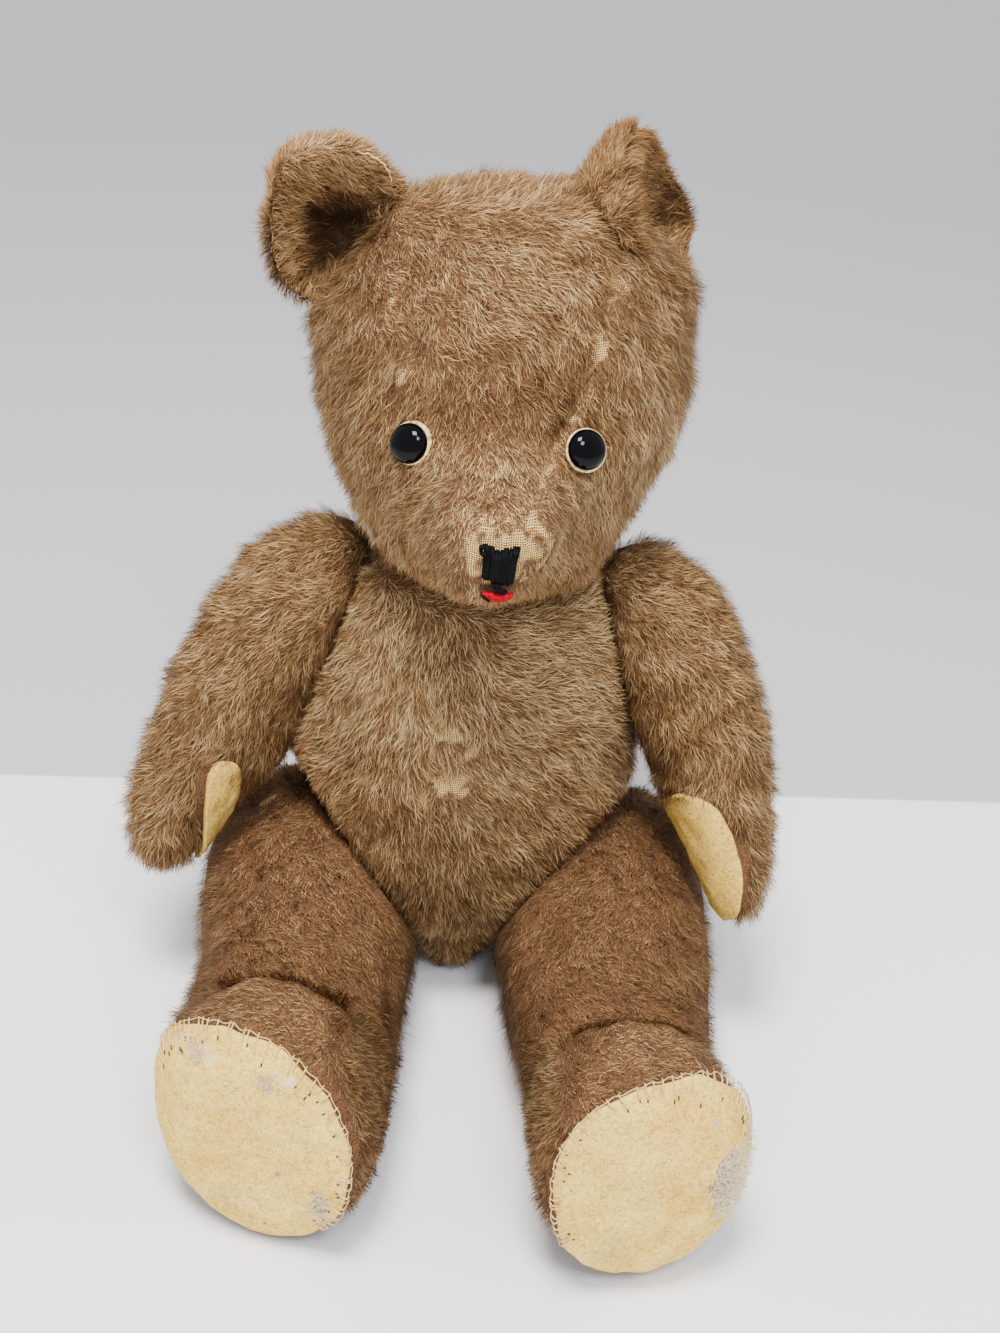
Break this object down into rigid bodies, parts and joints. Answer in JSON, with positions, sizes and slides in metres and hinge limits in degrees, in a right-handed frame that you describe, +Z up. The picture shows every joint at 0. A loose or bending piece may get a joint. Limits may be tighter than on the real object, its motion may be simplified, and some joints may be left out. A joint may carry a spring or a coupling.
{
  "type": "jointed teddy bear",
  "caption": "Seated plush teddy bear with cupped ears, glass eyes, stitched nose and felt paws, worn thin in places; its head, arms and legs turn on disc joints.",
  "frame": {"origin": "middle of the flat under the torso that the bear sits on", "axes": "+Z up; the bear faces -Y; +X is the bear's own left"},
  "size_m": [0.2424, 0.2482, 0.3276],
  "materials": {
    "mohair_plush": "brown mohair pile on a pale woven backing, worn thin in places",
    "cream_felt": "cream wool felt, rubbed and spotted",
    "wadding": "off-white fluffy stuffing",
    "black_thread": "black embroidery thread, slightly glossy",
    "red_felt": "bright red felt",
    "black_glass": "black glossy glass, opaque",
    "eye_cream_back": "cream enamel backing of the eye",
    "hardboard": "brown hardboard, smooth side out",
    "steel_wire": "plain drawn steel"
  },
  "bodies": {
    "torso": {"body_cover": "mohair_plush", "body_stuffing": "wadding", "neck_disc_torso": "hardboard", "neck_washer_torso": "steel_wire", "neck_pin": "steel_wire", "shoulder_left_disc_torso": "hardboard", "shoulder_left_washer_torso": "steel_wire", "shoulder_left_pin": "steel_wire", "shoulder_right_disc_torso": "hardboard", "shoulder_right_washer_torso": "steel_wire", "shoulder_right_pin": "steel_wire", "hip_left_disc_torso": "hardboard", "hip_left_washer_torso": "steel_wire", "hip_left_pin": "steel_wire", "hip_right_disc_torso": "hardboard", "hip_right_washer_torso": "steel_wire", "hip_right_pin": "steel_wire"},
    "head": {"head_cover": "mohair_plush", "head_stuffing": "wadding", "nose_stitching": "black_thread", "nose_drop_stitch": "black_thread", "mouth_felt": "red_felt", "eye_left": "black_glass", "eye_back_left": "eye_cream_back", "eye_wire_left": "steel_wire", "ear_left": "mohair_plush", "eye_right": "black_glass", "eye_back_right": "eye_cream_back", "eye_wire_right": "steel_wire", "ear_right": "mohair_plush", "neck_disc_limb": "hardboard", "neck_washer_limb": "steel_wire"},
    "arm_left": {"arm_cover_left": "mohair_plush", "arm_stuffing_left": "wadding", "paw_pad_left": "cream_felt", "shoulder_left_disc_limb": "hardboard", "shoulder_left_washer_limb": "steel_wire"},
    "leg_left": {"leg_cover_left": "mohair_plush", "leg_stuffing_left": "wadding", "foot_pad_left": "cream_felt", "hip_left_disc_limb": "hardboard", "hip_left_washer_limb": "steel_wire"},
    "arm_right": {"arm_cover_right": "mohair_plush", "arm_stuffing_right": "wadding", "paw_pad_right": "cream_felt", "shoulder_right_disc_limb": "hardboard", "shoulder_right_washer_limb": "steel_wire"},
    "leg_right": {"leg_cover_right": "mohair_plush", "leg_stuffing_right": "wadding", "foot_pad_right": "cream_felt", "hip_right_disc_limb": "hardboard", "hip_right_washer_limb": "steel_wire"}
  },
  "joints": [
    {"name": "neck_turn", "type": "hinge", "parent": "torso", "child": "head", "pos_m": [0.003, 0.002, 0.174], "axis": [0, -0.1736, 0.9848], "continuous": true},
    {"name": "shoulder_left_swing", "type": "hinge", "parent": "torso", "child": "arm_left", "pos_m": [0.05, 0, 0.145], "axis": [-0.9397, 0, -0.342], "range_deg": [-130, 70]},
    {"name": "shoulder_right_swing", "type": "hinge", "parent": "torso", "child": "arm_right", "pos_m": [-0.05, 0, 0.145], "axis": [-0.9397, 0, 0.342], "range_deg": [-126, 74]},
    {"name": "hip_left_swing", "type": "hinge", "parent": "torso", "child": "leg_left", "pos_m": [0.0422, 0, 0.042], "axis": [0.7958, -0.3719, -0.4779], "range_deg": [-10, 120]},
    {"name": "hip_right_swing", "type": "hinge", "parent": "torso", "child": "leg_right", "pos_m": [-0.0422, 0, 0.042], "axis": [0.7958, 0.3719, 0.4779], "range_deg": [-10, 120]}
  ]
}
